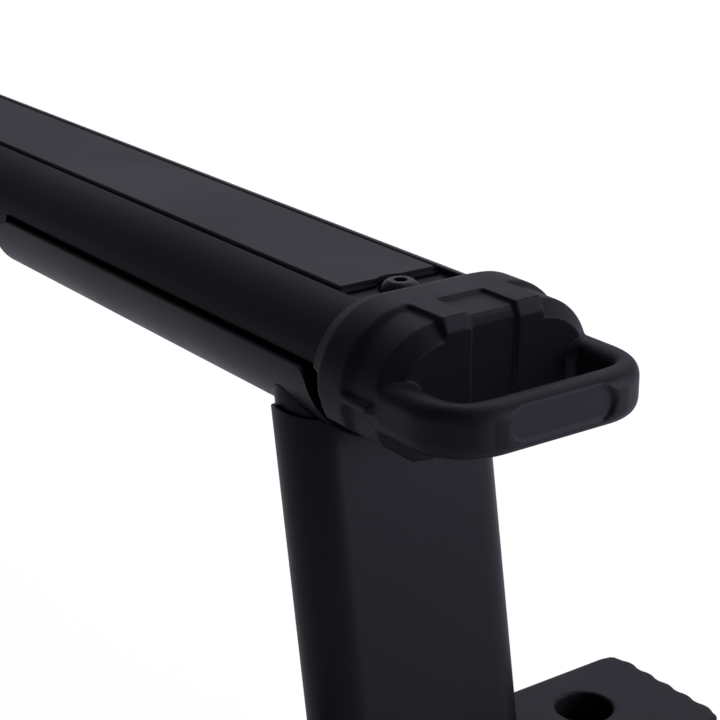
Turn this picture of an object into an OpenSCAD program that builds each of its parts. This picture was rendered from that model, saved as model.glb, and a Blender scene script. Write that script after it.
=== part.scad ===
// Pair of roof cross bars: two oval bars on splayed legs.
// A moulded cap with a tie-down loop closes each end of each bar.
// X runs along the bars, Y across the roof from one bar to the other, and Z is up.
// The origin lies on the mounting surface, midway between the bars and halfway along them.

/* [Bars] */
// Length of each extruded bar, without its end caps
bar_len = 1170; // [900:10:1500]
// Distance between the two bars, centre to centre
bar_spacing = 800; // [500:10:1100]
// Height of the bar's top above the mounting surface
bar_top = 210; // [180:1:260]
// Width of the bar's oval section
bar_w = 80; // [72:1:96]
// Height of the bar's oval section
bar_h = 45; // [40:1:54]
// Wall of the extrusion
bar_wall = 2.5; // [2:0.1:3]
// Width of the channel along the top of the bar
channel_w = 43.6; // [36:0.2:50]
// Depth of the channel
channel_depth = 3; // [2.6:0.1:3.8]

/* [Cover strip] */
// Gap between the strip and each side of the channel
strip_gap = 0.8; // [0.5:0.1:1.5]
// Distance from the cap's collar to the strip's end
strip_setback = 17.5; // [16:0.5:24]
// Thickness of the strip's top plate
strip_plate = 1.8; // [1.4:0.1:2]

/* [End cap] */
// Length of bar that the cap's collar covers
collar_len = 34; // [28:1:40]
// Height of the cap's collar above the bar's top
collar_rise = 4; // [3:0.5:6]
// Step from the collar down to the recessed panels
panel_step = 2; // [1:0.5:2.5]
// Thickness of the cap's end wall
end_wall = 6; // [4:0.5:8]
// Reach of the loop beyond the cap's end wall
loop_reach = 33.5; // [28:0.5:42]
// Width of the loop across its arms
loop_w = 88; // [82:1:96]
// Thickness of the loop's bar, seen from above
loop_t = 12; // [10:0.5:14]
// Height of the loop's bar
loop_h = 17.5; // [14:0.5:20]
// Outer corner radius of the loop
loop_r = 23; // [18:1:28]
// Width of the groove over the spine and down the end wall
spine_groove_w = 19; // [14:0.5:24]

/* [Saddle and leg] */
// Length of the half-round saddle under each end of the bar
saddle_len = 242; // [200:2:290]
// Thickness of the saddle's sheet
saddle_t = 2; // [1.5:0.5:3]
// Thickness of the rubber liner between the bar and the saddle
liner_t = 0.8; // [0.6:0.1:1.2]
// Width of the flat-oval leg tube, across the bar
leg_w = 85; // [76:1:96]
// Depth of the flat-oval leg tube, along the bar
leg_d = 28; // [24:1:34]
// Wall of the leg tube
leg_wall = 3; // [2:0.5:4]
// Outward splay of the leg
leg_tilt = 10; // [6:0.5:12]

/* [Foot] */
// Length of the foot across the bar
foot_len = 236; // [210:1:280]
// Width of the foot along the bar
foot_w = 63.4; // [54:0.2:72]
// Height of the foot over the mounting surface
foot_h = 29; // [24:1:34]
// Thickness of the rubber pad under the foot
pad_t = 5; // [3:0.5:8]
// Thickness of the steel base plate
plate_t = 6; // [5:0.5:8]
// Distance between the foot's two bolt holes
bolt_spacing = 156; // [140:1:180]
// Diameter of the bolt holes through the base plate and pad
bolt_hole_d = 11; // [9:0.5:13]
// Diameter of the access holes through the foot cover
access_hole_d = 22.4; // [18:0.2:28]

/* [Hidden] */
BARS = ["front", "rear"];
ENDS = ["right", "left"];
BAR_PIECES = ["bar", "cover_strip"];
END_PIECES = ["end_cap", "cap_screws", "end_screw", "nut_plate", "saddle", "saddle_liner",
              "saddle_bolts", "clamp_plate", "leg", "base_plate", "foot_cover", "foot_pad"];
$fn = 64;
EPS = 0.01;
// How far a cutting solid reaches past what it cuts
OVER = 2;

bar_r = bar_h / 2;
bar_flat = bar_w / 2 - bar_r;
bar_z = bar_top - bar_r;
rib_t = 2;
channel_floor = 3;
channel_rim = 0.5;
rib_y = channel_w / 2 + bar_wall - rib_t / 2;
// The channel is wider than the oval's flat, so its edges lie on the round shoulders
shoulder_z = sqrt(bar_r ^ 2 - (channel_w / 2 - bar_flat) ^ 2);

strip_w = channel_w - 2 * strip_gap;
strip_inset = collar_len + strip_setback;
strip_len = bar_len - 2 * strip_inset;
strip_lip = 1.2;
strip_lip_t = 0.6;
strip_foot_t = 2.2;
// The strip's long edges are round down to this height above the plate's underside
strip_edge = 0.3;
strip_round = strip_plate - strip_edge;
strip_foot_h = channel_depth - strip_plate;

// Button-head screws: thread diameter, head diameter, head height, socket across flats, socket depth
M8_BUTTON = [8, 15, 3.5, 4.6, 2.1];
TAPPING = [4.8, 9, 2.6, 3, 1.6];
hole_gap = 0.6;
notch_gap = 0.9;
// Twice the depth by which the end screw's head reaches into the strip's notch
strip_tuck = 1;
end_screw_x = -strip_inset + (M8_BUTTON[1] - strip_tuck) / 2;
end_screw_len = 16;
nut_plate_size = [30, 36, 5];

cap_gap = 0.2;
cap_flat = bar_flat + 2;
collar_r = bar_r + collar_rise;
panel_r = collar_r - panel_step;
bevel = 5.5;
cap_front = end_wall;
collar_back = -collar_len;
// The collar's full height ends this far from its back edge
collar_run = 19.5;
collar_front = collar_back + collar_run;
panel_front = cap_front - bevel;
// The collar is thin at its back edge and slopes up to full height over this length
flare_len = 7;
flare_rise = 1.5;
// Below this height the collar stops short on a leaning edge, to leave room for the saddle
collar_step_z = 4;
collar_low_back = collar_back + 5.5;
collar_lean = 12;
spine_w = 2 * cap_flat + 1;
spine_chamfer = [2.6, 5.2];
groove_depth = 1.6;
groove_back = collar_front + groove_depth;
side_rib_h = 3;
// The underside is flat at this depth, and slopes up towards the end wall from toe_back on
under_depth = bar_r + 1.5;
// Each lower corner has two sloping flats: their angles, and their distances from the round end's centre
under_angle = [17.3, 34.6];
under_reach = [under_depth, under_depth - 0.6];
toe_back = collar_front + 1.5;
// The spine's lower end: its depth at the end wall, then a point this far back and this deep
spine_toe = [under_depth - 4.8, 4, under_depth - 2.8];
loop_z = 0.3;
loop_edge = 5.5;
loop_front = cap_front + loop_reach;
arm_y = (loop_w - loop_t) / 2;
arm_back = panel_front + 1;
arm_fillet = 2.4;
badge_size = [42.5, 12.5];
badge_depth = 1.6;
badge_z = 0.9;
cap_screw_x = collar_front + 2;
cap_screw_y = 14;
cap_screw_len = 9;

saddle_r = bar_r + liner_t + saddle_t;
saddle_gap = 4;
// The feet of the saddle's two ends, inner end first
saddle_x = [collar_low_back - saddle_gap - saddle_len, collar_low_back - saddle_gap];
saddle_lip_z = 1.5;
// The saddle's ends lean inward going up; its upper corners are round, inner end first
saddle_lean = 17;
saddle_corner = [18, 6];
liner_lip_z = 3.2;
liner_inset = 15;
liner_gap = 0.4;
saddle_bolt_inset = [78, 64];
saddle_bolt_x = [saddle_x[1] - saddle_bolt_inset[0], saddle_x[0] + saddle_bolt_inset[1]];
saddle_bolt_len = 12;
clamp_plate_w = 2 * bar_flat + 1;
clamp_plate_t = 5;
clamp_margin = 20;

// The leg's axis crosses the foot's top here, measured from the bar's end
leg_foot_x = -31;
// The leg's rim lies this far above the saddle's lowest line
leg_rim_rise = 8.5;
leg_top_z = leg_rim_rise - saddle_r;
// The leg's rim slopes down from this point near the leg's axis, steeply inward and gently outward
leg_rim_x = leg_foot_x - (bar_z + leg_top_z - foot_h) * tan(leg_tilt) - 2;
leg_rim_slope = [20, 8];
// Above the rim a thinner neck runs on up to the saddle, set in by this much
leg_neck_step = 1.5;

foot_lead = 7.5;
foot_x = leg_foot_x + foot_lead;
foot_corner = 7;
// The bolt holes lie this far outward of the leg's axis
bolt_lead = 1.6;
bolt_x = leg_foot_x + bolt_lead;
foot_soft = 2.5;
cover_wall = 4;
cover_gap = 0.4;
lobe_r = 7.9;
lobe_pitch = 10.3;
lobe_count = floor((foot_w - 2 * lobe_r) / lobe_pitch) + 1;
lobe_relief = 1.1;
plate_top = pad_t + plate_t;
plate_inset = cover_wall + cover_gap;
pad_inset = 1.5;

// The collar's leaning lower edge at height z
function collar_low_x(z) = collar_low_back + (collar_step_z - z) * tan(collar_lean);

function arc(cx, cy, r, a0, a1, steps) =
    [for (i = [0 : steps]) let (a = a0 + (a1 - a0) * i / steps) [cx + r * cos(a), cy + r * sin(a)]];

// An oval with flat top and bottom: half the flat, and the radius of the round ends
module oval(flat, r) {
    union() {
        square([2 * flat, 2 * r], center = true);
        for (s = [-1, 1]) translate([s * flat, 0]) circle(r);
    }
}

// Stands a section drawn across the bar along the bar, from x0 to x1
module along_x(x0, x1) {
    translate([x0, 0, 0]) rotate([90, 0, 90]) linear_extrude(x1 - x0) children();
}

// Stands a section drawn in X and Z across the bar, over a width
module across_y(width) {
    translate([0, width / 2, 0]) rotate([90, 0, 0]) linear_extrude(width) children();
}

// A rectangle with round corners, centred
module soft_rect(w, h, r) {
    union() {
        square([w - 2 * r, h], center = true);
        square([w, h - 2 * r], center = true);
        for (x = [-1, 1], y = [-1, 1]) translate([x * (w / 2 - r), y * (h / 2 - r)]) circle(r);
    }
}

// A rectangle standing on y = 0 with round upper corners
module soft_top(w, h, r) {
    union() {
        translate([-w / 2, 0]) square([w, h - r]);
        translate([-w / 2 + r, 0]) square([w - 2 * r, h]);
        for (x = [-1, 1]) translate([x * (w / 2 - r), h - r]) circle(r);
    }
}

// A block standing on z = 0 with round corners in plan and a soft top edge
module soft_block(w, l, h, corner, soft) {
    intersection() {
        linear_extrude(h) soft_rect(w, l, corner);
        across_y(l) soft_top(w, h, soft);
        along_x(-w / 2, w / 2) soft_top(l, h, soft);
    }
}

// Carries a profile of points [x, r] round an oval of the given flat, filled to its middle
module racetrack(profile, flat) {
    back = [for (i = [len(profile) - 1 : -1 : 0]) [profile[i][0], -profile[i][1]]];
    union() {
        for (s = [-1, 1])
            translate([0, s * flat, 0]) rotate([0, 90, 0]) rotate([0, 0, 90 - s * 90])
                rotate_extrude(angle = 180) polygon([for (p = profile) [p[1], p[0]]]);
        across_y(2 * flat) polygon(concat(profile, back));
    }
}

module bar_section() {
    block_w = channel_w + 2 * bar_wall;
    difference() {
        oval(bar_flat, bar_r);
        translate([-channel_w / 2, bar_r - channel_depth]) square([channel_w, channel_depth + OVER]);
        for (s = [-1, 1])
            translate([s * channel_w / 2, shoulder_z])
                rotate(45) square(channel_rim * sqrt(2), center = true);
        difference() {
            oval(bar_flat, bar_r - bar_wall);
            translate([-block_w / 2, bar_r - channel_depth - channel_floor]) square([block_w, bar_r]);
            for (s = [-1, 1]) translate([s * rib_y - rib_t / 2, -bar_r]) square([rib_t, bar_h]);
        }
    }
}

module bar_extrusion() {
    color([0.13, 0.13, 0.14])
    difference() {
        along_x(-bar_len / 2, bar_len / 2) bar_section();
        for (e = [0, 180]) rotate([0, 0, e]) translate([bar_len / 2, 0, 0]) {
            translate([end_screw_x, 0, 0]) cylinder(d = M8_BUTTON[0] + hole_gap, h = bar_h);
            saddle_bolt_holes(M8_BUTTON[0] + hole_gap);
            for (s = [-1, 1]) translate([cap_screw_x, s * cap_screw_y, -bar_h])
                cylinder(d = TAPPING[0], h = bar_h);
        }
    }
}

// The strip's plate, standing on y = 0, with round long edges
module strip_section() {
    x = strip_w / 2 - strip_round;
    z = strip_plate - strip_round;
    polygon(concat([[-strip_w / 2, 0], [strip_w / 2, 0]],
                   arc(x, z, strip_round, 0, 90, 6), arc(-x, z, strip_round, 90, 180, 6)));
}

// The strip lies in the channel on two feet, flush with the bar's top.
// It is notched round each end screw.
module cover_strip() {
    top = bar_r;
    color([0.2, 0.2, 0.21])
    difference() {
        union() {
            along_x(-strip_len / 2, strip_len / 2) translate([0, top - strip_plate]) strip_section();
            along_x(-strip_len / 2 - strip_lip, strip_len / 2 + strip_lip) {
                translate([-strip_w / 2, top - strip_plate - strip_lip_t])
                    square([strip_w, strip_lip_t + EPS]);
                for (s = [-1, 1])
                    translate([s * (strip_w / 2 - strip_foot_t) - strip_foot_t / 2, top - channel_depth])
                        square([strip_foot_t, strip_foot_h]);
            }
        }
        for (e = [0, 180]) rotate([0, 0, e])
            translate([bar_len / 2 + end_screw_x, 0, 0])
                cylinder(d = M8_BUTTON[1] + 2 * notch_gap, h = bar_h);
    }
}

// Button-head screw with a hexagon socket, its head standing on z = 0 and its shank below
module button_screw(size, len) {
    head_r = size[1] / 2;
    head_h = size[2];
    crown_r = head_r * 0.58;
    rim_h = head_h * 0.18;
    centre = (head_r ^ 2 + rim_h ^ 2 - crown_r ^ 2 - head_h ^ 2) / (2 * (rim_h - head_h));
    dome = arc(0, centre, norm([head_r, rim_h - centre]),
               atan2(rim_h - centre, head_r), atan2(head_h - centre, crown_r), 6);
    difference() {
        union() {
            rotate_extrude() polygon(concat([[0, 0], [head_r, 0]], dome, [[0, head_h]]));
            translate([0, 0, -len]) cylinder(d = size[0], h = len + EPS);
        }
        translate([0, 0, head_h - size[4]]) cylinder(d = size[3] / cos(30), h = size[4] + OVER, $fn = 6);
    }
}

// Everything from here on is placed from the centre of the bar's end face

module end_screw() {
    color([0.2, 0.2, 0.21])
    translate([end_screw_x, 0, bar_r - channel_depth]) button_screw(M8_BUTTON, end_screw_len);
}

module nut_plate() {
    color([0.55, 0.55, 0.57])
    difference() {
        translate([end_screw_x, 0, bar_r - channel_depth - channel_floor - nut_plate_size[2] / 2])
            cube(nut_plate_size, center = true);
        translate([end_screw_x, 0, 0]) cylinder(d = M8_BUTTON[0], h = bar_h);
    }
}

// Outer shape of the cap without its loop: collar, step, panels, bevel and end wall.
// The spine runs over them.
module cap_body() {
    wall_r = panel_r - bevel;
    toe_slope = (under_depth - wall_r) / (cap_front - toe_back);
    difference() {
        racetrack([[collar_back, 0], [collar_back, bar_r + flare_rise], [collar_back + flare_len, collar_r],
                   [collar_front, collar_r], [collar_front + panel_step, panel_r],
                   [panel_front, panel_r], [cap_front, wall_r], [cap_front, 0]], cap_flat);
        across_y(2 * bar_w)
            polygon([[toe_back, -under_depth], [cap_front + OVER, -wall_r + OVER * toe_slope],
                     [cap_front + OVER, -bar_w], [toe_back, -bar_w]]);
    }
    across_y(spine_w)
        polygon([[collar_front - EPS, -under_depth], [collar_front - EPS, collar_r],
                 [cap_front - spine_chamfer[0], collar_r], [cap_front, collar_r - spine_chamfer[1]],
                 [cap_front, -spine_toe[0]], [cap_front - spine_toe[1], -spine_toe[2]],
                 [toe_back, -under_depth]]);
    for (s = [0, 180]) rotate([s, 0, 0])
        translate([0, 0, -side_rib_h / 2]) linear_extrude(side_rib_h)
            polygon([[collar_front - EPS, arm_y], [collar_front - EPS, cap_flat + collar_r],
                     [panel_front - panel_step, cap_flat + collar_r],
                     [panel_front, cap_flat + panel_r], [panel_front, arm_y]]);
}

// The underside is trimmed flat, with sloping flats along each lower corner
module under_trim() {
    reach = 2 * bar_w;
    along_x(collar_back - OVER, cap_front + OVER) {
        translate([-reach / 2, -under_depth - bar_w]) square([reach, bar_w]);
        for (s = [-1, 1], i = [0, 1]) translate([s * bar_flat, 0]) rotate(s * under_angle[i])
            translate([-reach / 2, -under_reach[i] - bar_w]) square([reach, bar_w]);
    }
}

// A shallow groove runs over the spine, through its chamfer and down the end wall
module spine_groove() {
    floor_r = collar_r - groove_depth;
    across_y(spine_groove_w)
        polygon([[groove_back, collar_r + OVER], [groove_back, floor_r],
                 [cap_front - spine_chamfer[0] - groove_depth / 2, floor_r],
                 [cap_front - groove_depth, collar_r - spine_chamfer[1] - groove_depth / 3],
                 [cap_front - groove_depth, -collar_r], [cap_front + OVER, -collar_r],
                 [cap_front + OVER, collar_r + OVER]]);
}

module loop_section() {
    translate([0, loop_z]) soft_rect(loop_t, loop_h, loop_edge);
}

// The tie-down loop: two arms, two round corners and a front bar
module tie_loop() {
    corner_x = loop_front - loop_r;
    across_y(loop_w - 2 * loop_r) translate([loop_front - loop_t / 2, 0]) loop_section();
    for (s = [-1, 1]) {
        translate([corner_x, s * (loop_w / 2 - loop_r), 0]) rotate([0, 0, s * 45 - 45])
            rotate_extrude(angle = 90) translate([loop_r - loop_t / 2, 0]) loop_section();
        along_x(arm_back, corner_x) translate([s * arm_y, 0]) loop_section();
        // The arm spreads inward where it leaves the end wall
        hull() {
            along_x(arm_back, cap_front) translate([s * (arm_y - arm_fillet), 0]) loop_section($fn = 32);
            along_x(cap_front, cap_front + arm_fillet) translate([s * arm_y, 0]) loop_section($fn = 32);
        }
    }
}

module end_cap() {
    color([0.1, 0.1, 0.1])
    difference() {
        union() {
            difference() {
                cap_body();
                along_x(collar_back - OVER, cap_gap) oval(bar_flat, bar_r + cap_gap);
                under_trim();
                spine_groove();
                across_y(2 * bar_w)
                    polygon([[collar_back - OVER, collar_step_z], [collar_low_back, collar_step_z],
                             [collar_low_x(-bar_w), -bar_w], [collar_back - OVER, -bar_w]]);
            }
            // A key fills the end of the bar's channel
            translate([collar_back, -channel_w / 2 + cap_gap, bar_r - channel_depth + cap_gap])
                cube([collar_len + cap_gap, channel_w - 2 * cap_gap, channel_depth]);
            tie_loop();
        }
        along_x(loop_front - badge_depth, loop_front + OVER)
            translate([0, badge_z]) oval((badge_size[0] - badge_size[1]) / 2, badge_size[1] / 2);
        for (s = [-1, 1]) translate([cap_screw_x, s * cap_screw_y, -bar_h])
            cylinder(d = TAPPING[0] + hole_gap / 2, h = bar_r);
    }
}

module cap_screws() {
    color([0.2, 0.2, 0.21])
    for (s = [-1, 1]) translate([cap_screw_x, s * cap_screw_y, -under_depth])
        rotate([180, 0, 0]) button_screw(TAPPING, cap_screw_len);
}

// What is trimmed off the saddle's end: everything past a leaning plane with its foot at x = 0
module saddle_lean_trim() {
    across_y(2 * bar_w)
        polygon([[OVER * tan(saddle_lean), -saddle_r - OVER], [bar_w, -saddle_r - OVER],
                 [bar_w, saddle_r], [-2 * saddle_r * tan(saddle_lean), saddle_r]]);
}

// What is trimmed off to round the upper corner of the saddle's leaning end
module saddle_corner_trim(corner) {
    cx = -(corner + sin(saddle_lean) * (saddle_lip_z - corner + saddle_r)) / cos(saddle_lean);
    cz = saddle_lip_z - corner;
    out = corner + OVER;
    across_y(2 * bar_w)
        polygon(concat([[cx, cz + out], [cx + out, cz + out],
                        [cx + out * cos(saddle_lean), cz + out * sin(saddle_lean)]],
                       arc(cx, cz, corner, saddle_lean, 90, 9)));
}

module saddle_bolt_holes(d) {
    for (x = saddle_bolt_x) translate([x, 0, -bar_h]) cylinder(d = d, h = bar_h);
}

module saddle() {
    color([0.12, 0.12, 0.13])
    difference() {
        along_x(saddle_x[0], saddle_x[1]) difference() {
            oval(bar_flat, saddle_r);
            oval(bar_flat, bar_r + liner_t);
            translate([-bar_w, saddle_lip_z]) square([2 * bar_w, bar_w]);
        }
        for (i = [0, 1]) translate([saddle_x[i], 0, 0]) rotate([0, 0, 180 - 180 * i]) saddle_lean_trim();
        for (i = [0, 1]) translate([saddle_x[i], 0, 0]) rotate([0, 0, 180 - 180 * i])
            saddle_corner_trim(saddle_corner[i]);
        saddle_bolt_holes(M8_BUTTON[0] + hole_gap);
    }
}

// A rubber liner that shows above the saddle's lip and between the saddle and the cap
module saddle_liner() {
    color([0.05, 0.05, 0.05])
    difference() {
        along_x(saddle_x[0] + liner_inset, cap_front) difference() {
            oval(bar_flat, bar_r + liner_t);
            oval(bar_flat, bar_r);
            translate([-bar_w, liner_lip_z]) square([2 * bar_w, bar_w]);
        }
        translate([-liner_gap, 0, 0]) across_y(2 * bar_w)
            polygon([[collar_low_x(bar_r), bar_r], [bar_w, bar_r], [bar_w, -bar_w],
                     [collar_low_x(-bar_w), -bar_w]]);
        saddle_bolt_holes(M8_BUTTON[0] + hole_gap);
    }
}

module saddle_bolts() {
    color([0.2, 0.2, 0.21])
    for (x = saddle_bolt_x) translate([x, 0, -saddle_r]) rotate([180, 0, 0])
        button_screw(M8_BUTTON, saddle_bolt_len);
}

module clamp_plate() {
    x0 = min(saddle_bolt_x) - clamp_margin;
    x1 = max(saddle_bolt_x) + clamp_margin;
    color([0.55, 0.55, 0.57])
    difference() {
        translate([x0, -clamp_plate_w / 2, -bar_r + bar_wall])
            cube([x1 - x0, clamp_plate_w, clamp_plate_t]);
        saddle_bolt_holes(M8_BUTTON[0]);
    }
}

// The leg's outline, swollen by grow, as a slanted prism that runs past both its ends
module leg_prism(grow) {
    r = leg_d / 2 + grow;
    translate([leg_foot_x, 0, foot_h - bar_z]) rotate([0, -leg_tilt, 0])
        translate([0, 0, -2 * foot_h]) linear_extrude(bar_top + 2 * foot_h)
            rotate(90) oval((leg_w - leg_d) / 2, r);
}

module leg() {
    z0 = plate_top - bar_z;
    back_drop = bar_w * tan(leg_rim_slope[0]);
    front_drop = bar_w * tan(leg_rim_slope[1]);
    color([0.12, 0.12, 0.13])
    difference() {
        union() {
            intersection() {
                leg_prism(0);
                across_y(2 * leg_w)
                    polygon([[leg_rim_x - bar_w, z0], [leg_rim_x + bar_w, z0],
                             [leg_rim_x + bar_w, leg_top_z - front_drop], [leg_rim_x, leg_top_z],
                             [leg_rim_x - bar_w, leg_top_z - back_drop]]);
            }
            intersection() {
                leg_prism(-leg_neck_step);
                translate([leg_rim_x - bar_w, -leg_w, z0]) cube([2 * bar_w, 2 * leg_w, -z0]);
            }
        }
        leg_prism(-leg_wall);
        along_x(-bar_top, bar_top) oval(bar_flat, saddle_r);
    }
}

module bolt_holes(d, z0, z1) {
    for (s = [-1, 1]) translate([bolt_x, s * bolt_spacing / 2, z0]) cylinder(d = d, h = z1 - z0);
}

module plate_outline(inset) {
    soft_rect(foot_w - 2 * inset, foot_len - 2 * inset, max(foot_corner - inset, 2));
}

module base_plate() {
    color([0.12, 0.12, 0.13])
    translate([0, 0, -bar_z]) difference() {
        translate([foot_x, 0, pad_t]) linear_extrude(plate_t) plate_outline(plate_inset);
        bolt_holes(bolt_hole_d, pad_t - OVER, plate_top + OVER);
    }
}

module foot_cover() {
    cover_h = foot_h - pad_t;
    lobe = concat([[0, 0], [lobe_r, 0]], arc(lobe_r - foot_soft, cover_h - foot_soft, foot_soft, 0, 90, 4),
                  [[0, cover_h]]);
    color([0.11, 0.11, 0.11])
    difference() {
        translate([foot_x, 0, pad_t - bar_z]) {
            soft_block(foot_w, foot_len - 2 * lobe_relief, cover_h, foot_corner, foot_soft);
            for (s = [-1, 1], i = [0 : lobe_count - 1])
                translate([(i - (lobe_count - 1) / 2) * lobe_pitch, s * (foot_len / 2 - lobe_r), 0])
                    rotate_extrude() polygon(lobe);
        }
        translate([foot_x, 0, pad_t - bar_z - OVER])
            linear_extrude(plate_t + cover_gap + OVER) plate_outline(cover_wall);
        leg_prism(cover_gap);
        translate([0, 0, -bar_z]) bolt_holes(access_hole_d, pad_t, foot_h + OVER);
    }
}

module foot_pad() {
    color([0.07, 0.07, 0.07])
    translate([0, 0, -bar_z]) difference() {
        translate([foot_x, 0, 0]) linear_extrude(pad_t) plate_outline(pad_inset);
        bolt_holes(bolt_hole_d, -OVER, pad_t + OVER);
    }
}

module at_bar(bar) {
    translate([0, bar == "front" ? bar_spacing / 2 : -bar_spacing / 2, bar_z]) children();
}

module at_end(side) {
    rotate([0, 0, side == "right" ? 0 : 180]) translate([bar_len / 2, 0, 0]) children();
}

for (b = BARS) at_bar(b) {
    bar_extrusion();
    cover_strip();
}
for (b = BARS, e = ENDS) at_bar(b) at_end(e) {
    end_cap();
    cap_screws();
    end_screw();
    nut_plate();
    saddle();
    saddle_liner();
    saddle_bolts();
    clamp_plate();
    leg();
    base_plate();
    foot_cover();
    foot_pad();
}
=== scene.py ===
"""Finishes, moulded caps and feet, and the studio for a packed pair of roof cross bars.

Every length is in metres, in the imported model's own frame: X along the bars, Y across from the rear bar to the
front bar, Z up from the surface that the feet stand on.
"""

import logging
import math
from dataclasses import dataclass, field
from enum import Enum
from typing import Any, ClassVar, Optional

import bmesh
import bpy
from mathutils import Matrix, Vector


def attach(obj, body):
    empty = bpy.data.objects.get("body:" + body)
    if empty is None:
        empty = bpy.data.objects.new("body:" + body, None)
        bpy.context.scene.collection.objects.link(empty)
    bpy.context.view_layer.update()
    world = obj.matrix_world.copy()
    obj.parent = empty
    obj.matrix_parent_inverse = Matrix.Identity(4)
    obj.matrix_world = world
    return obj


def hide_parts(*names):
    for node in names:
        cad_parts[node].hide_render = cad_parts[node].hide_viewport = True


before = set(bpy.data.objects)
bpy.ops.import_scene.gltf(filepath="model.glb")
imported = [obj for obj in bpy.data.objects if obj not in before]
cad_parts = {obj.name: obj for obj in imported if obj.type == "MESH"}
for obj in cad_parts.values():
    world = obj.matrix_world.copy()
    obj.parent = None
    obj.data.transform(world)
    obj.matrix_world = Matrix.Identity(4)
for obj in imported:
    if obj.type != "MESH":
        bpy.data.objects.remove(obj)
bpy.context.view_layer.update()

log = logging.getLogger("cross_bars")

MM = 0.001
# Distances from the middle of the pair: to a bar, to a bar's end face and to a foot's middle
BAR_Y = 400.0 * MM
END_X = 585.0 * MM
FOOT_X = 561.5 * MM

Colour = tuple[float, float, float]
Point = tuple[float, float, float]
Socket = bpy.types.NodeSocket


class Bar(Enum):
    """The two bars, by their node prefix."""

    FRONT = "front"
    REAR = "rear"


class End(Enum):
    """The two ends of a bar, by their node prefix."""

    RIGHT = "right"
    LEFT = "left"


class Graph:
    """Adds and joins the nodes of one material, world or node group.

    Attributes:
        mix_colours: Places of a Mix node's two colour inputs, whose names its other kinds share.
        mix_result: Place of its colour output.
    """

    mix_colours = (6, 7)
    mix_result = 2

    def __init__(self, tree: bpy.types.NodeTree) -> None:
        """Wraps a node tree.

        Args:
            tree: The tree that gets the nodes.
        """
        self.tree = tree

    def add(self, kind: str, inputs: Optional[dict[Any, Any]] = None, **settings: Any) -> bpy.types.Node:
        """Adds one node.

        Args:
            kind: Blender's type name of the node.
            inputs: Input names or places with a value, or with the socket that feeds them.
            **settings: The node's own properties.

        Returns:
            The new node.
        """
        node = self.tree.nodes.new(kind)
        for name, value in settings.items():
            setattr(node, name, value)
        for name, value in (inputs or {}).items():
            if isinstance(value, Socket):
                self.tree.links.new(value, node.inputs[name])
            else:
                node.inputs[name].default_value = value
        return node

    def math(self, operation: str, a: Any, b: Any = 0.0, clamp: bool = False) -> Socket:
        """Adds a Math node and returns its output.

        Args:
            operation: Blender's name of the operation.
            a: First number or socket.
            b: Second number or socket, where the operation has one.
            clamp: Whether the result is kept from 0 to 1.

        Returns:
            The output socket.
        """
        return self.add("ShaderNodeMath", {0: a, 1: b}, operation=operation, use_clamp=clamp).outputs[0]

    def join(self, source: Socket, node: bpy.types.Node, name: str) -> None:
        """Feeds one of a node's inputs.

        Args:
            source: The socket that feeds it.
            node: The node that is fed.
            name: The input's name.
        """
        self.tree.links.new(source, node.inputs[name])

    def object_place(self) -> Socket:
        """Adds the object's own coordinates and returns them."""
        return self.add("ShaderNodeTexCoord").outputs["Object"]

    def split(self, vector: Socket) -> bpy.types.Node:
        """Adds a node that splits a vector into X, Y and Z, and returns it."""
        return self.add("ShaderNodeSeparateXYZ", {0: vector})

    def noise(self, place: Socket, scale: Any, detail: float, distortion: float = 0.0) -> Socket:
        """Adds a noise texture and returns its value.

        Args:
            place: The coordinates.
            scale: The noise's scale, as a number or socket.
            detail: How many finer layers it has.
            distortion: How much it is warped.

        Returns:
            The value output socket.
        """
        inputs = {"Vector": place, "Scale": scale, "Detail": detail, "Distortion": distortion}
        return self.add("ShaderNodeTexNoise", inputs).outputs[0]

    def seen(self) -> Socket:
        """Adds a mask of the rays that the camera sees directly or through glass, and returns it."""
        path = self.add("ShaderNodeLightPath")
        return self.math("MAXIMUM", path.outputs["Is Camera Ray"], path.outputs["Is Transmission Ray"])

    def remap(self, value: Any, low: float, high: float, to_low: Any, to_high: Any) -> Socket:
        """Adds a smooth Map Range node and returns its output.

        Args:
            value: The socket that is mapped.
            low: Start of the range that is read.
            high: End of the range that is read.
            to_low: What low becomes.
            to_high: What high becomes.

        Returns:
            The output socket.
        """
        node = self.add(
            "ShaderNodeMapRange",
            {"Value": value, "From Min": low, "From Max": high, "To Min": to_low, "To Max": to_high},
            interpolation_type="SMOOTHSTEP",
        )
        return node.outputs["Result"]

    def blend(self, factor: Any, a: Any, b: Any) -> Socket:
        """Adds a colour Mix node and returns its output.

        Args:
            factor: How much of b shows, as a number or socket.
            a: First colour or socket.
            b: Second colour or socket.

        Returns:
            The colour output socket.
        """
        node = self.add("ShaderNodeMix", {0: factor}, data_type="RGBA")
        for place, value in zip(self.mix_colours, (a, b)):
            if isinstance(value, Socket):
                self.tree.links.new(value, node.inputs[place])
            else:
                node.inputs[place].default_value = (*value, 1.0)
        return node.outputs[self.mix_result]


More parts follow.
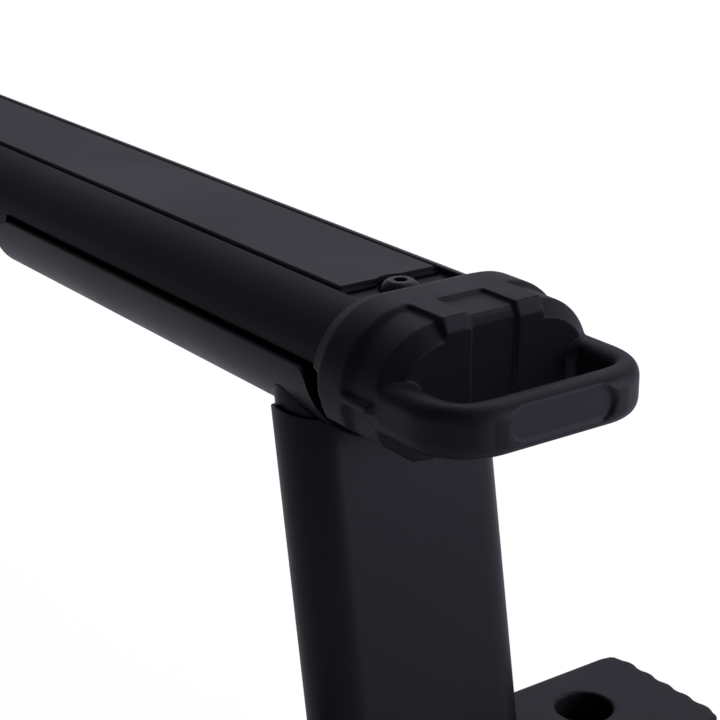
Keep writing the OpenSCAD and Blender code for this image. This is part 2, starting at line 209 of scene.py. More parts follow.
class Effect:
    """A shader node group that several finishes place with their own values.

    Attributes:
        name: The group's name.
        inputs: The name and value of each number that it takes.
        outputs: The name and socket type of each result.
    """

    name: str = ""
    inputs: tuple[tuple[str, float], ...] = ()
    outputs: tuple[tuple[str, str], ...] = ()

    def draw(self, graph: Graph, given: bpy.types.Node, result: bpy.types.Node) -> None:
        """Draws the group's nodes between its input and output nodes.

        Args:
            graph: The group's graph.
            given: The group's input node.
            result: The group's output node.
        """
        raise NotImplementedError

    def tree(self) -> bpy.types.NodeTree:
        """Builds the group on its first use.

        Returns:
            The node group.
        """
        found = bpy.data.node_groups.get(self.name)
        if found:
            return found
        tree = bpy.data.node_groups.new(self.name, "ShaderNodeTree")
        for name, value in self.inputs:
            socket = tree.interface.new_socket(name, in_out="INPUT", socket_type="NodeSocketFloat")
            socket.default_value = value
        for name, kind in self.outputs:
            tree.interface.new_socket(name, in_out="OUTPUT", socket_type=kind)
        graph = Graph(tree)
        self.draw(graph, graph.add("NodeGroupInput"), graph.add("NodeGroupOutput"))
        return tree

    def place(self, graph: Graph, **values: float) -> bpy.types.Node:
        """Places the group in a material.

        Args:
            graph: The material's graph.
            **values: The group's inputs, with underscores for spaces.

        Returns:
            The group node.
        """
        node = graph.add("ShaderNodeGroup", node_tree=self.tree())
        for name, value in values.items():
            node.inputs[name.replace("_", " ")].default_value = value
        return node


class MouldedGrain(Effect):
    """The fine pebbled skin of a moulded part: rounded grains, finer ones among them, and a broad drift.

    Attributes:
        round_share: How much of the relief the rounded grains make.
        fine_share: How much of it the finer ones make.
    """

    name = "moulded_grain"
    inputs = (("Grain Scale", 1500.0), ("Drift Scale", 60.0))
    outputs = (("Height", "NodeSocketFloat"), ("Drift", "NodeSocketFloat"))
    round_share, fine_share = 0.65, 0.35

    def draw(self, graph: Graph, given: bpy.types.Node, result: bpy.types.Node) -> None:
        """Mixes round cells with fine noise.

        Args:
            graph: The group's graph.
            given: The group's input node.
            result: The group's output node.
        """
        place = graph.object_place()
        cells = graph.add(
            "ShaderNodeTexVoronoi",
            {"Vector": place, "Scale": given.outputs["Grain Scale"], "Smoothness": 0.7},
            feature="SMOOTH_F1",
        )
        fine = graph.noise(place, given.outputs["Grain Scale"], detail=3.0)
        drift = graph.noise(place, given.outputs["Drift Scale"], detail=4.0)
        rounded = graph.math("SUBTRACT", 1.0, cells.outputs["Distance"])
        coarse_part = graph.math("MULTIPLY", rounded, self.round_share)
        fine_part = graph.math("MULTIPLY", fine, self.fine_share)
        graph.join(graph.math("ADD", coarse_part, fine_part), result, "Height")
        graph.join(drift, result, "Drift")


class CoatTexture(Effect):
    """Powder coat: low orange peel, fine tooth and a few brighter flecks.

    Attributes:
        peel_share: How much of the relief the orange peel makes.
        tooth_share: How much of it the tooth makes.
        fleck_span: How high the tooth stands where a fleck starts, and where it is full.
    """

    name = "coat_texture"
    inputs = (("Peel Scale", 700.0), ("Tooth Scale", 4200.0))
    outputs = (("Height", "NodeSocketFloat"), ("Fleck", "NodeSocketFloat"))
    peel_share, tooth_share = 0.6, 0.4
    fleck_span = (0.66, 0.74)

    def draw(self, graph: Graph, given: bpy.types.Node, result: bpy.types.Node) -> None:
        """Adds two sizes of noise, and takes the flecks from the finer one.

        Args:
            graph: The group's graph.
            given: The group's input node.
            result: The group's output node.
        """
        place = graph.object_place()
        peel = graph.noise(place, given.outputs["Peel Scale"], detail=1.5)
        tooth = graph.noise(place, given.outputs["Tooth Scale"], detail=2.0)
        peel_part = graph.math("MULTIPLY", peel, self.peel_share)
        tooth_part = graph.math("MULTIPLY", tooth, self.tooth_share)
        graph.join(graph.math("ADD", peel_part, tooth_part), result, "Height")
        graph.join(graph.remap(tooth, *self.fleck_span, 0.0, 1.0), result, "Fleck")


class DieLines(Effect):
    """The faint lines that an extrusion die leaves along the bar.

    Attributes:
        streak_scale: Scale of the broad streaks among them.
    """

    name = "die_lines"
    inputs = (("Line Scale", 1100.0), ("Stretch", 0.004))
    outputs = (("Height", "NodeSocketFloat"), ("Streak", "NodeSocketFloat"))
    streak_scale = 90.0

    def draw(self, graph: Graph, given: bpy.types.Node, result: bpy.types.Node) -> None:
        """Stretches noise along X.

        Args:
            graph: The group's graph.
            given: The group's input node.
            result: The group's output node.
        """
        split = graph.split(graph.object_place())
        drawn = graph.add(
            "ShaderNodeCombineXYZ",
            {
                "X": graph.math("MULTIPLY", split.outputs["X"], given.outputs["Stretch"]),
                "Y": split.outputs["Y"],
                "Z": split.outputs["Z"],
            },
        ).outputs[0]
        graph.join(graph.noise(drawn, given.outputs["Line Scale"], detail=3.0), result, "Height")
        graph.join(graph.noise(drawn, self.streak_scale, detail=2.0), result, "Streak")


class Handling(Effect):
    """Where hands and packing have rubbed a surface: soft patches with a few fine scuffs in them.

    Attributes:
        rub_span: How high the broad noise stands where a patch starts, and where it is full.
        scuff_span: The same for the fine noise and its scuffs.
    """

    name = "handling"
    inputs = (("Patch Scale", 14.0), ("Scuff Scale", 260.0))
    outputs = (("Rub", "NodeSocketFloat"), ("Scuff", "NodeSocketFloat"))
    rub_span = (0.42, 0.68)
    scuff_span = (0.60, 0.70)

    def draw(self, graph: Graph, given: bpy.types.Node, result: bpy.types.Node) -> None:
        """Keeps the scuffs inside the rubbed patches.

        Args:
            graph: The group's graph.
            given: The group's input node.
            result: The group's output node.
        """
        place = graph.object_place()
        patch = graph.noise(place, given.outputs["Patch Scale"], detail=3.0)
        rub = graph.remap(patch, *self.rub_span, 0.0, 1.0)
        scuff = graph.noise(place, given.outputs["Scuff Scale"], detail=5.0, distortion=1.6)
        sharp = graph.remap(scuff, *self.scuff_span, 0.0, 1.0)
        graph.join(rub, result, "Rub")
        graph.join(graph.math("MULTIPLY", sharp, rub), result, "Scuff")


class EdgeCatch(Effect):
    """Rounds an edge's shading and gives a mask of the edge, for the wear on it and for a painted highlight along
    it.

    Attributes:
        turn_span: How alike the rounded and the true normal are where the edge starts, and where it is full.
        gap_span: The noise's values between which a gap turns into full edge.
        gap_rest: How much of the edge still shows in a gap.
    """

    name = "edge_catch"
    inputs = (("Radius", 0.5 * MM), ("Break Scale", 220.0))
    outputs = (("Normal", "NodeSocketVector"), ("Edge", "NodeSocketFloat"))
    turn_span = (0.995, 0.80)
    gap_span = (0.35, 0.60)
    gap_rest = 0.15

    def draw(self, graph: Graph, given: bpy.types.Node, result: bpy.types.Node) -> None:
        """Compares the rounded normal with the true one.

        Args:
            graph: The group's graph.
            given: The group's input node.
            result: The group's output node.
        """
        soft = graph.add("ShaderNodeBevel", {"Radius": given.outputs["Radius"]}, samples=6).outputs[0]
        true = graph.add("ShaderNodeNewGeometry").outputs["Normal"]
        turn = graph.add("ShaderNodeVectorMath", {0: soft, 1: true}, operation="DOT_PRODUCT").outputs["Value"]
        edge = graph.remap(turn, *self.turn_span, 0.0, 1.0)
        gaps = graph.noise(graph.object_place(), given.outputs["Break Scale"], detail=4.0)
        broken = graph.remap(gaps, *self.gap_span, self.gap_rest, 1.0)
        graph.join(soft, result, "Normal")
        graph.join(graph.math("MULTIPLY", edge, broken), result, "Edge")


@dataclass(frozen=True)
class Finish:
    """What every finish has: a colour, how rough it is, and how its edges catch the light.

    Attributes:
        name: What the material is named after.
        colour: Base colour, linear.
        roughness: Mean roughness.
        specular: Specular IOR level.
        metal: How metallic it is.
        edge_radius: Radius over which edges are shaded round, or 0 where the mesh is round itself.
        edge_wear_and_glint: How much lighter an edge is, as wear and as a painted highlight.
        edge_share: How much of that shows.
        rub_gloss: How much smoother a rubbed patch is.
        scuff_lift: How much lighter a scuff is.
        scuff_share: How much of that shows.
        relief_depth: Depth of its fine relief.
        relief_strength: How strongly that relief shades.
        drift_span: The noise's values between which the colour drifts.
        drift_lift: How much lighter the colour is at each end of that drift.
        sheen: Tint of its reflections.
    """

    name: str
    colour: Colour
    roughness: float
    specular: float = 0.4
    metal: float = 0.0
    edge_radius: float = 0.5 * MM
    edge_wear_and_glint: float = 0.5
    edge_share: float = 0.6
    rub_gloss: float = 0.06
    scuff_lift: float = 1.0
    scuff_share: float = 0.15
    relief_depth: float = 0.012 * MM
    relief_strength: float = 0.7
    drift_span: tuple[float, float] = (0.3, 0.7)
    drift_lift: tuple[float, float] = (-0.08, 0.10)
    sheen: Colour = (0.90, 0.88, 1.0)

    def material(self) -> bpy.types.Material:
        """Builds the material on its first use.

        Returns:
            The material.
        """
        found = bpy.data.materials.get(f"{self.name}_finish")
        if found:
            return found
        material = bpy.data.materials.new(f"{self.name}_finish")
        material.use_nodes = True
        material.node_tree.nodes.clear()
        graph = Graph(material.node_tree)
        light = {"Metallic": self.metal, "Specular IOR Level": self.specular, "Specular Tint": (*self.sheen, 1.0)}
        shader = graph.add("ShaderNodeBsdfPrincipled", light)
        graph.join(shader.outputs[0], graph.add("ShaderNodeOutputMaterial"), "Surface")
        tone, rough, normal = self.surface(graph)
        tone, rough = self.zones(graph, tone, rough)
        graph.join(tone, shader, "Base Color")
        graph.join(rough, shader, "Roughness")
        graph.join(normal, shader, "Normal")
        return material

    def lit(self, amount: float) -> Colour:
        """The finish's colour, lightened by a share of itself."""
        return tuple(min(1.0, c * (1.0 + amount)) for c in self.colour)

    def edge_normal(self, graph: Graph, bump: bpy.types.Node) -> Optional[Socket]:
        """Feeds a bump with round edges.

        Args:
            graph: The material's graph.
            bump: The Bump node that the edges shade through.

        Returns:
            The mask of the edges, or None where the mesh is round itself.
        """
        if self.edge_radius <= 0:
            return None
        edge = EdgeCatch().place(graph, Radius=self.edge_radius)
        graph.join(edge.outputs["Normal"], bump, "Normal")
        return edge.outputs["Edge"]

    def bump(self, graph: Graph, height: Socket) -> bpy.types.Node:
        """Adds the Bump node of the fine relief, and returns it."""
        inputs = {"Distance": self.relief_depth, "Height": height, "Strength": self.relief_strength}
        return graph.add("ShaderNodeBump", inputs)

    def drifting(self, graph: Graph, noise: Socket) -> Socket:
        """The colour, which drifts from a darker to a lighter tone with a noise."""
        dark, light = (self.lit(lift) for lift in self.drift_lift)
        return graph.blend(graph.remap(noise, *self.drift_span, 0.0, 1.0), dark, light)

    def scuffed(self, graph: Graph, tone: Socket, marks: bpy.types.Node) -> Socket:
        """Lightens a tone where it is scuffed, and returns it."""
        share = graph.math("MULTIPLY", marks.outputs["Scuff"], self.scuff_share)
        return graph.blend(share, tone, self.lit(self.scuff_lift))

    def edged(self, graph: Graph, tone: Socket, edge: Optional[Socket]) -> Socket:
        """Lightens a tone at the edges, where the finish shades them round, as wear and as a painted highlight,
        and returns it.

        Args:
            graph: The material's graph.
            tone: The colour.
            edge: The mask of the edges, or None.

        Returns:
            The changed colour.
        """
        if edge is None:
            return tone
        return graph.blend(graph.math("MULTIPLY", edge, self.edge_share), tone, self.lit(self.edge_wear_and_glint))

    def rubbed(self, graph: Graph, marks: bpy.types.Node) -> Socket:
        """The roughness, smoother where the surface is rubbed."""
        return graph.remap(marks.outputs["Rub"], 0.0, 1.0, self.roughness, self.roughness - self.rub_gloss)

    def surface(self, graph: Graph) -> tuple[Socket, Socket, Socket]:
        """Draws the finish's own nodes.

        Args:
            graph: The material's graph.

        Returns:
            The colour, the roughness and the normal.
        """
        raise NotImplementedError

    def zones(self, graph: Graph, tone: Socket, rough: Socket) -> tuple[Socket, Socket]:
        """Changes the colour and roughness in parts of the surface, which a plain finish has none of.

        Args:
            graph: The material's graph.
            tone: The colour.
            rough: The roughness.

        Returns:
            The changed colour and roughness.
        """
        return tone, rough


@dataclass(frozen=True)
class Moulded(Finish):
    """Black moulded plastic or rubber with a fine pebbled skin.

    Attributes:
        grain_scale: Scale of the grain.
    """

    edge_share: float = 0.5
    scuff_lift: float = 1.2
    scuff_share: float = 0.35
    relief_depth: float = 0.06 * MM
    relief_strength: float = 0.8
    drift_lift: tuple[float, float] = (-0.12, 0.14)
    grain_scale: float = 1500.0

    def surface(self, graph: Graph) -> tuple[Socket, Socket, Socket]:
        """Grain in the normal, drift and rubbed patches in the colour and roughness.

        Args:
            graph: The material's graph.

        Returns:
            The colour, the roughness and the normal.
        """
        grain = MouldedGrain().place(graph, Grain_Scale=self.grain_scale)
        marks = Handling().place(graph)
        bump = self.bump(graph, grain.outputs["Height"])
        edge = self.edge_normal(graph, bump)
        tone = self.scuffed(graph, self.drifting(graph, grain.outputs["Drift"]), marks)
        return self.edged(graph, tone, edge), self.rubbed(graph, marks), bump.outputs[0]


@dataclass(frozen=True)
class CapSkin(Moulded):
    """The end cap's skin, with painted shade and more roughness on the end wall behind the loop, and painted light
    on the badge recess's floor.

    Attributes:
        upright: How far along X a face's normal has to point, from none to all of these tones.
        wall_x: Distances from the middle of the pair between which the end wall's shade fades out.
        wall_painted_shade: How much lighter the painted shade makes the end wall, which is less than none.
        wall_dull: How much rougher the end wall is.
        badge_in: Distances from the middle of the pair between which the badge floor's tone sets in.
        badge_out: Distances between which it fades out.
        badge_painted_light: How much lighter the painted light makes the badge floor.
    """

    upright: tuple[float, float] = (0.86, 0.97)
    wall_x: tuple[float, float] = (592.0 * MM, 594.0 * MM)
    wall_painted_shade: float = -0.9
    wall_dull: float = 0.3
    badge_in: tuple[float, float] = (620.5 * MM, 621.5 * MM)
    badge_out: tuple[float, float] = (623.3 * MM, 623.9 * MM)
    badge_painted_light: float = 2.2

    def zones(self, graph: Graph, tone: Socket, rough: Socket) -> tuple[Socket, Socket]:
        """Paints shade on the end wall, makes it rougher, and paints light on the badge recess's floor.

        Args:
            graph: The material's graph.
            tone: The colour.
            rough: The roughness.

        Returns:
            The changed colour and roughness.
        """
        reach = graph.math("ABSOLUTE", graph.split(graph.object_place()).outputs["X"])
        normal = graph.split(graph.add("ShaderNodeNewGeometry").outputs["Normal"])
        facing = graph.remap(graph.math("ABSOLUTE", normal.outputs["X"]), *self.upright, 0.0, 1.0)
        # Painted shade on the end wall behind the loop, where it faces along X.
        wall = graph.math("MULTIPLY", graph.remap(reach, *self.wall_x, 1.0, 0.0), facing)
        tone = graph.blend(wall, tone, self.lit(self.wall_painted_shade))
        rough = graph.math("ADD", rough, graph.math("MULTIPLY", wall, self.wall_dull), clamp=True)
        # Painted light on the badge recess's floor, where it faces along X.
        sets_in = graph.remap(reach, *self.badge_in, 0.0, 1.0)
        fades_out = graph.remap(reach, *self.badge_out, 1.0, 0.0)
        badge = graph.math("MULTIPLY", graph.math("MULTIPLY", sets_in, fades_out), facing)
        return graph.blend(badge, tone, self.lit(self.badge_painted_light)), rough


@dataclass(frozen=True)
class PowderCoat(Finish):
    """Fine black powder coat on steel.

    Attributes:
        fleck_lift: How much lighter a fleck is.
    """

    scuff_lift: float = 1.4
    scuff_share: float = 0.25
    relief_depth: float = 0.04 * MM
    relief_strength: float = 0.9
    fleck_lift: float = 0.8

    def surface(self, graph: Graph) -> tuple[Socket, Socket, Socket]:
        """Orange peel and tooth in the normal, flecks and rubbed patches in the colour and roughness.

        Args:
            graph: The material's graph.

        Returns:
            The colour, the roughness and the normal.
        """
        coat = CoatTexture().place(graph)
        marks = Handling().place(graph, Patch_Scale=9.0)
        bump = self.bump(graph, coat.outputs["Height"])
        edge = self.edge_normal(graph, bump)
        tone = graph.blend(coat.outputs["Fleck"], self.colour, self.lit(self.fleck_lift))
        tone = self.scuffed(graph, tone, marks)
        return self.edged(graph, tone, edge), self.rubbed(graph, marks), bump.outputs[0]


@dataclass(frozen=True)
class Anodised(Finish):
    """Black anodised aluminium extrusion with faint die lines."""

    def surface(self, graph: Graph) -> tuple[Socket, Socket, Socket]:
        """Die lines in the normal, streaks and rubbed patches in the colour and roughness.

        Args:
            graph: The material's graph.

        Returns:
            The colour, the roughness and the normal.
        """
        lines = DieLines().place(graph)
        marks = Handling().place(graph, Patch_Scale=6.0, Scuff_Scale=380.0)
        bump = self.bump(graph, lines.outputs["Height"])
        edge = self.edge_normal(graph, bump)
        tone = self.scuffed(graph, self.drifting(graph, lines.outputs["Streak"]), marks)
        return self.edged(graph, tone, edge), self.rubbed(graph, marks), bump.outputs[0]


@dataclass(frozen=True)
class RolledStrip(Anodised):
    """The cover strip's finish, rougher along its two rolled edges, and darker there with painted shade of the
    groove beside the bar.

    Attributes:
        rolled: Distances from the bar's middle between which that tone sets in.
        rolled_painted_shade: How much lighter the painted shade makes the rolled edges, which is less than none.
        rolled_dull: How much rougher they are.
    """

    rolled: tuple[float, float] = (18.9 * MM, 19.9 * MM)
    rolled_painted_shade: float = -0.9
    rolled_dull: float = 0.4

    def zones(self, graph: Graph, tone: Socket, rough: Socket) -> tuple[Socket, Socket]:
        """Paints shade on the rolled edges and makes them rougher.

        Args:
            graph: The material's graph.
            tone: The colour.
            rough: The roughness.

        Returns:
            The changed colour and roughness.
        """
        from_middle = graph.math("ABSOLUTE", graph.split(graph.object_place()).outputs["Y"])
        from_bar = graph.math("ABSOLUTE", graph.math("SUBTRACT", from_middle, BAR_Y))
        # Painted shade of the groove between the strip and the bar, on the strip's rolled edges.
        side = graph.remap(from_bar, *self.rolled, 0.0, 1.0)
        rough = graph.math("ADD", rough, graph.math("MULTIPLY", side, self.rolled_dull), clamp=True)
        return graph.blend(side, tone, self.lit(self.rolled_painted_shade)), rough


@dataclass(frozen=True)
class PlatedSteel(Finish):
    """Oxide-black or zinc-plated steel of screws and plates, whose colour drifts with the rubbed patches.

    Attributes:
        turn_scale: Scale of the plating's mottle.
        scuff_dull: How much rougher a scuff is.
    """

    edge_share: float = 0.8
    relief_depth: float = 0.01 * MM
    relief_strength: float = 0.6
    drift_lift: tuple[float, float] = (-0.15, 0.15)
    turn_scale: float = 900.0
    scuff_dull: float = 0.12

    def surface(self, graph: Graph) -> tuple[Socket, Socket, Socket]:
        """A mottled plating, with brighter edges where a tool has been.

        Args:
            graph: The material's graph.

        Returns:
            The colour, the roughness and the normal.
        """
        coat = CoatTexture().place(graph, Peel_Scale=self.turn_scale)
        marks = Handling().place(graph, Patch_Scale=70.0, Scuff_Scale=900.0)
        bump = self.bump(graph, coat.outputs["Height"])
        edge = self.edge_normal(graph, bump)
        tone = graph.blend(marks.outputs["Rub"], *(self.lit(lift) for lift in self.drift_lift))
        rough = graph.remap(marks.outputs["Scuff"], 0.0, 1.0, self.roughness, self.roughness + self.scuff_dull)
        return self.edged(graph, tone, edge), rough, bump.outputs[0]


# Lighter edges on the bar: wear, and a painted highlight along the channel's rim.
BAR_FINISH = Anodised(
    "bar_anodised", (0.0160, 0.0165, 0.0188), 0.55, specular=0.155, edge_radius=0.6 * MM, edge_wear_and_glint=2.5
)
STRIP_FINISH = RolledStrip(
    "strip_anodised", (0.0095, 0.0093, 0.0110), 0.53, specular=0.22, edge_radius=0.2 * MM
)
CAP_FINISH = CapSkin("moulded_cap", (0.0062, 0.0060, 0.0072), 0.54, specular=0.205, edge_radius=0.0)
FOOT_FINISH = Moulded("moulded_foot", (0.0085, 0.0083, 0.0098), 0.54, specular=0.26, edge_radius=0.0)
COAT_FINISH = PowderCoat("powder_coat", (0.0036, 0.0036, 0.0043), 0.43, specular=0.195)
# Near black and without shine: the liner's rubber, and painted shade of the gap above each saddle's lip.
LINER_AND_GAP_SHADE_FINISH = Moulded(
    "liner_rubber", (0.0012, 0.0012, 0.0013), 0.95, specular=0.0, edge_radius=0.2 * MM, grain_scale=2600.0
)
PAD_FINISH = Moulded("pad_rubber", (0.0035, 0.0035, 0.0038), 0.78, specular=0.15, grain_scale=1800.0)
# Edges thirty times lighter: a painted glint around the screw sockets' rims.
SCREW_FINISH = PlatedSteel(
    "black_screw", (0.009, 0.009, 0.010), 0.16, specular=0.16, edge_radius=0.12 * MM, edge_wear_and_glint=30.0
)
ZINC_FINISH = PlatedSteel(
    "zinc_plate", (0.46, 0.46, 0.48), 0.38, metal=1.0, edge_wear_and_glint=0.3, turn_scale=160.0
)


def dress(node: str, finish: Finish) -> None:
    """Gives a CAD node its finish.

    Args:
        node: The node's name.
        finish: The finish it gets.
    """
    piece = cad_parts[node]
    if not piece.material_slots:
        piece.data.materials.append(finish.material())
    for slot in piece.material_slots:
        slot.material = finish.material()
    log.info("%s: %s", node, finish.name)


@dataclass
class SoftMoulding:
    """A moulded part that is rounded like one from a mould, in the place of its CAD node.

    Attributes:
        node: The CAD node that it stands for.
        finish: Its finish.
        voxel: Size of the grid's cells that the shape is rebuilt on.
        rounds: How often the rebuilt surface is smoothed.
        place: The point in X and Y that its changes of shape are measured from.
        weld: Distance within which the CAD mesh's points are joined.
        ease: How far each round of smoothing moves a point towards its neighbours.
    """

    node: str
    finish: Finish
    voxel: float
    rounds: int
    place: tuple[float, float]
    weld: ClassVar[float] = 0.002 * MM
    ease: ClassVar[float] = 0.5

    def merged_copy(self) -> bpy.types.Object:
        """Copies the CAD mesh and joins its loose triangles.

        Returns:
            The copy.
        """
        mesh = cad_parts[self.node].data.copy()
        work = bmesh.new()
        work.from_mesh(mesh)
        bmesh.ops.remove_doubles(work, verts=work.verts, dist=self.weld)
        work.to_mesh(mesh)
        work.free()
        piece = bpy.data.objects.new(f"{self.node}_moulding", mesh)
        bpy.context.scene.collection.objects.link(piece)
        return piece

    def reshape(self, mesh: bpy.types.Mesh) -> None:
        """Changes the rebuilt shape where the mould differs from the plain solid."""

    def build(self) -> None:
        """Rebuilds the shape on a fine grid, smooths it and puts it in the node's place."""
        piece = self.merged_copy()
        grid = piece.modifiers.new("grid", "REMESH")
        grid.mode = "VOXEL"
        grid.voxel_size = self.voxel
        ease = piece.modifiers.new("ease", "SMOOTH")
        ease.factor = self.ease
        ease.iterations = self.rounds
        bpy.context.view_layer.update()
        seen = piece.evaluated_get(bpy.context.evaluated_depsgraph_get())
        smooth = bpy.data.meshes.new_from_object(seen)
        self.reshape(smooth)
        piece.modifiers.clear()
        old = piece.data
        piece.data = smooth
        bpy.data.meshes.remove(old)
        smooth.materials.clear()
        smooth.materials.append(self.finish.material())
        smooth.shade_smooth()
        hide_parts(self.node)
        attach(piece, "root")
        log.info("%s: %d faces", piece.name, len(smooth.polygons))


def corner_reach(turn: float, flat: float, radius: float) -> float:
    """How far a square corner with a round tip reaches from a point inside it.

    Args:
        turn: Direction that is looked in, in radians from one of the two sides' normals.
        flat: Distance from the point to both sides.
        radius: Radius of the tip.

    Returns:
        The distance to the outline.
    """
    run, rise = math.cos(turn), math.sin(turn)
    centre = flat - radius
    if run > 0 and flat * rise / run <= centre:
        return flat / run
    if rise > 0 and flat * run / rise <= centre:
        return flat / rise
    lean = centre * (run + rise)
    return lean + math.sqrt(lean**2 - 2 * centre**2 + radius**2)


@dataclass
class CapMoulding(SoftMoulding):
    """The end cap, with the tighter inner corners of its loop.

    Its place is the middle of the bar's end face.

    Attributes:
        out: 1 where the bar's end looks along +X, and -1 where it looks along -X.
        corner: The centre of the loop's corners from there, out along the bar and across it.
        inner: Inner radius of the corners.
        outer: Outer radius of the corners.
        tight: Radius that the inner corners get.
        margin: How far inside the inner radius the smoothed surface may lie.
    """

    out: int
    corner: tuple[float, float] = (16.5 * MM, 21.0 * MM)
    inner: float = 11.0 * MM
    outer: float = 23.0 * MM
    tight: float = 5.0 * MM
    margin: float = 1.0 * MM

    def reshape(self, mesh: bpy.types.Mesh) -> None:
        """Pushes the inside of each corner outwards, and leaves the outside as it is.

        Args:
            mesh: The rebuilt mesh.
        """
        for vertex in mesh.vertices:
            along, across = vertex.co.x - self.place[0], vertex.co.y - self.place[1]
            run = self.out * along - self.corner[0]
            side = abs(across) - self.corner[1]
            reach = math.hypot(run, side)
            if run <= 0 or side <= 0 or not self.inner - self.margin < reach < self.outer:
                continue
            share = min(1.0, (self.outer - reach) / (self.outer - self.inner))
            tip = corner_reach(math.atan2(side, run), self.inner, self.tight)
            grow = 1.0 + (tip - self.inner) * share / reach
            vertex.co.x = self.place[0] + self.out * (self.corner[0] + run * grow)
            vertex.co.y = self.place[1] + math.copysign(self.corner[1] + side * grow, across)


@dataclass
class FootMoulding(SoftMoulding):
    """The foot cover, with its broad round corners.

    Its place is the middle of the foot.

    Attributes:
        half: Half the foot's width along the bar and half its length across it.
        sharp: Radius of the corners as they come.
        broad: Radius that they get.
    """

    half: tuple[float, float] = (31.7 * MM, 117.6 * MM)
    sharp: float = 7.0 * MM
    broad: float = 9.5 * MM

    def reshape(self, mesh: bpy.types.Mesh) -> None:
        """Draws each corner in to its broad radius.

        Args:
            mesh: The rebuilt mesh.
        """
        centre = [half - self.broad for half in self.half]
        for vertex in mesh.vertices:
            along, across = vertex.co.x - self.place[0], vertex.co.y - self.place[1]
            run, side = abs(along) - centre[0], abs(across) - centre[1]
            if run <= 0 or side <= 0:
                continue
            shrink = self.broad / corner_reach(math.atan2(side, run), self.broad, self.sharp)
            vertex.co.x = self.place[0] + math.copysign(centre[0] + run * shrink, along)
            vertex.co.y = self.place[1] + math.copysign(centre[1] + side * shrink, across)


@dataclass
class CrossBar:
    """One extruded bar with its cover strip.

    Attributes:
        bar: Which of the two bars.
    """

    bar: Bar

    def build(self) -> None:
        """Dresses the bar and its strip."""
        dress(f"{self.bar.value}_bar", BAR_FINISH)
        dress(f"{self.bar.value}_cover_strip", STRIP_FINISH)


@dataclass
class BarEnd:
    """Everything at one end of one bar: the cap, the saddle, the leg and the foot.

    Attributes:
        bar: Which bar.
        end: Which end of it.
        finishes: The finish of each CAD node that keeps its own shape.
    """

    bar: Bar
    end: End
    finishes: dict[str, Finish] = field(
        default_factory=lambda: {
            "cap_screws": SCREW_FINISH,
            "end_screw": SCREW_FINISH,
            "nut_plate": ZINC_FINISH,
            "saddle": COAT_FINISH,
            "saddle_liner": LINER_AND_GAP_SHADE_FINISH,
            "saddle_bolts": SCREW_FINISH,
            "clamp_plate": ZINC_FINISH,
            "leg": COAT_FINISH,
            "base_plate": COAT_FINISH,
            "foot_pad": PAD_FINISH,
        }
    )

    def node(self, piece: str) -> str:
        """The name of this end's CAD node."""
        return f"{self.bar.value}_{self.end.value}_{piece}"

    def build(self) -> None:
        """Dresses the nodes that keep their shape, and rebuilds the two mouldings."""
        for piece, finish in self.finishes.items():
            dress(self.node(piece), finish)
        out = 1 if self.end is End.RIGHT else -1
        y = BAR_Y if self.bar is Bar.FRONT else -BAR_Y
        CapMoulding(
            self.node("end_cap"), CAP_FINISH, voxel=0.65 * MM, rounds=4, place=(out * END_X, y), out=out
        ).build()
        FootMoulding(
            self.node("foot_cover"), FOOT_FINISH, voxel=1.1 * MM, rounds=2, place=(out * FOOT_X, y)
        ).build()


@dataclass(frozen=True)
class Lamp:
    """A large square lamp with soft light.

    Attributes:
        name: What it is called.
        place: Where it hangs.
        target: The point that it shines at.
        size: Length of its sides.
        power: Its power in watts.
    """

    name: str
    place: Point
    target: Point
    size: float
    power: float

    def hang(self, tint: Colour) -> None:
        """Hangs the lamp.

        Args:
            tint: Colour of its light.
        """
        lamp = bpy.data.lights.new(self.name, "AREA")
        lamp.shape = "SQUARE"
        lamp.size = self.size
        lamp.energy = self.power
        lamp.color = tint
        aim = Vector(self.target) - Vector(self.place)
        holder = bpy.data.objects.new(self.name, lamp)
        holder.location = self.place
        holder.rotation_euler = aim.to_track_quat("-Z", "Y").to_euler()
        bpy.context.scene.collection.objects.link(holder)


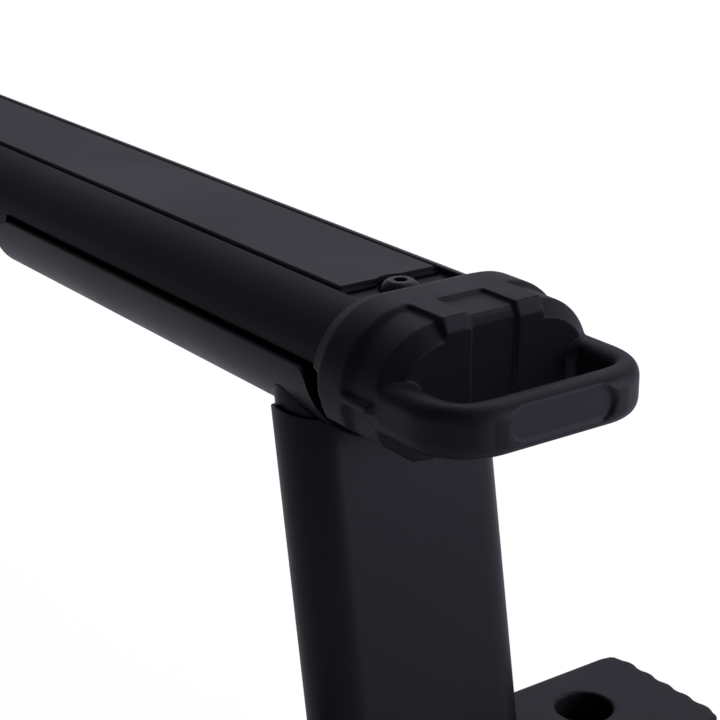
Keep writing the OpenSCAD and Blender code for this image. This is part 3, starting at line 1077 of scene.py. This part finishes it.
@dataclass
class Studio:
    """The pale floor, the lamps, the world and the camera.

    Attributes:
        floor_radius: Radius of the round floor.
        floor_matt: The floor's grey in all light that isn't seen directly.
        floor_shine: Its glow in reflections.
        floor_shade: Its grey to the camera, which takes the shadow.
        floor_glow: Its glow to the camera.
        eye: Where the camera stands.
        sight: The direction it looks in.
        lens: Focal length on a 36 mm sensor.
        bright_way: The direction that most of the world's light comes from.
        bright_span: How far a direction has to agree with that one for the light to start growing, and to be full.
        glow: The world's strength away from that direction and towards it.
        tint: The slightly blue colour of all the light.
        lamps: One lamp above the bars, and one beyond the photographed end.
    """

    floor_radius: float = 9.0
    floor_matt: float = 0.62
    floor_shine: float = 0.34
    floor_shade: float = 0.12
    floor_glow: float = 0.95
    eye: Vector = field(default_factory=lambda: Vector((1.0373, 0.0245, 0.4067)))
    sight: Vector = field(default_factory=lambda: Vector((-0.7625, 0.5507, -0.3397)))
    lens: float = 97.5
    bright_way: Point = (-0.25, 0.95, 0.18)
    bright_span: tuple[float, float] = (-0.25, 0.65)
    glow: tuple[float, float] = (0.116, 0.53)
    tint: Colour = (0.87, 0.86, 1.0)
    lamps: tuple[Lamp, ...] = (
        Lamp("overhead", (-0.6, 1.6, 2.4), (0.0, 0.1, 0.1), size=2.4, power=18.0),
        Lamp("right_fill", (2.6, 2.2, 0.9), (0.4, 0.3, 0.1), size=1.6, power=38.0),
    )

    def lay_floor(self) -> None:
        """A round floor that the camera sees as white, with the object's soft shadow."""
        mesh = bpy.data.meshes.new("floor")
        work = bmesh.new()
        bmesh.ops.create_circle(work, cap_ends=True, radius=self.floor_radius, segments=96)
        work.to_mesh(mesh)
        work.free()
        floor = bpy.data.objects.new("floor", mesh)
        bpy.context.scene.collection.objects.link(floor)
        mesh.materials.append(self.floor_material())

    def floor_material(self) -> bpy.types.Material:
        """White to the camera, pale in reflections, plain diffuse to all other light, and clear from below.

        Returns:
            The floor's material.
        """
        material = bpy.data.materials.new("floor_white")
        material.use_nodes = True
        material.node_tree.nodes.clear()
        graph = Graph(material.node_tree)
        back = graph.add("ShaderNodeNewGeometry").outputs["Backfacing"]
        glossy = graph.add("ShaderNodeLightPath").outputs["Is Glossy Ray"]
        shine = graph.math("MULTIPLY", glossy, self.floor_shine)
        matt = graph.add("ShaderNodeBsdfDiffuse", {"Color": (*[self.floor_matt] * 3, 1.0)})
        pale = graph.add("ShaderNodeEmission", {"Color": (*self.tint, 1.0), "Strength": shine})
        plain = graph.add("ShaderNodeAddShader", {0: matt.outputs[0], 1: pale.outputs[0]})
        shade = graph.add("ShaderNodeBsdfDiffuse", {"Color": (*[self.floor_shade] * 3, 1.0)})
        glow = graph.add("ShaderNodeEmission", {"Color": (1.0, 1.0, 1.0, 1.0), "Strength": self.floor_glow})
        white = graph.add("ShaderNodeAddShader", {0: shade.outputs[0], 1: glow.outputs[0]})
        top = graph.add("ShaderNodeMixShader", {0: graph.seen(), 1: plain.outputs[0], 2: white.outputs[0]})
        clear = graph.add("ShaderNodeBsdfTransparent")
        both = graph.add("ShaderNodeMixShader", {0: back, 1: top.outputs[0], 2: clear.outputs[0]})
        graph.join(both.outputs[0], graph.add("ShaderNodeOutputMaterial"), "Surface")
        return material

    def light_world(self) -> None:
        """A world that the camera sees as white, and that lights the object softly, most from beyond the bars."""
        world = bpy.data.worlds.new("studio")
        bpy.context.scene.world = world
        world.use_nodes = True
        world.node_tree.nodes.clear()
        graph = Graph(world.node_tree)
        seen = graph.seen()
        way = graph.add("ShaderNodeTexCoord").outputs["Generated"]
        aim = graph.add("ShaderNodeVectorMath", {0: way, 1: self.bright_way}, operation="DOT_PRODUCT")
        soft = graph.remap(aim.outputs["Value"], *self.bright_span, *self.glow)
        strength = graph.math("MAXIMUM", seen, soft)
        colour = graph.blend(seen, self.tint, (1.0, 1.0, 1.0))
        glow = graph.add("ShaderNodeBackground", {"Color": colour, "Strength": strength})
        graph.join(glow.outputs[0], graph.add("ShaderNodeOutputWorld"), "Surface")

    def stand_camera(self) -> None:
        """The camera, where the photograph was taken from."""
        view = bpy.data.cameras.new("view")
        view.lens = self.lens
        view.sensor_width = 36.0
        view.clip_start = 0.01
        holder = bpy.data.objects.new("view", view)
        holder.location = self.eye
        holder.rotation_euler = self.sight.to_track_quat("-Z", "Y").to_euler()
        bpy.context.scene.collection.objects.link(holder)
        bpy.context.scene.camera = holder

    def build(self) -> None:
        """Sets up the whole studio."""
        self.lay_floor()
        self.light_world()
        for lamp in self.lamps:
            lamp.hang(self.tint)
        self.stand_camera()
        bpy.context.scene.view_settings.view_transform = "Standard"
        log.info("studio: %d lamps", len(self.lamps))


def main() -> None:
    """Builds the studio, the bars and their ends in order."""
    logging.basicConfig(level=logging.INFO, format="%(message)s")
    Studio().build()
    for bar in Bar:
        CrossBar(bar).build()
        for end in End:
            BarEnd(bar, end).build()


if __name__ == "__main__":
    main()
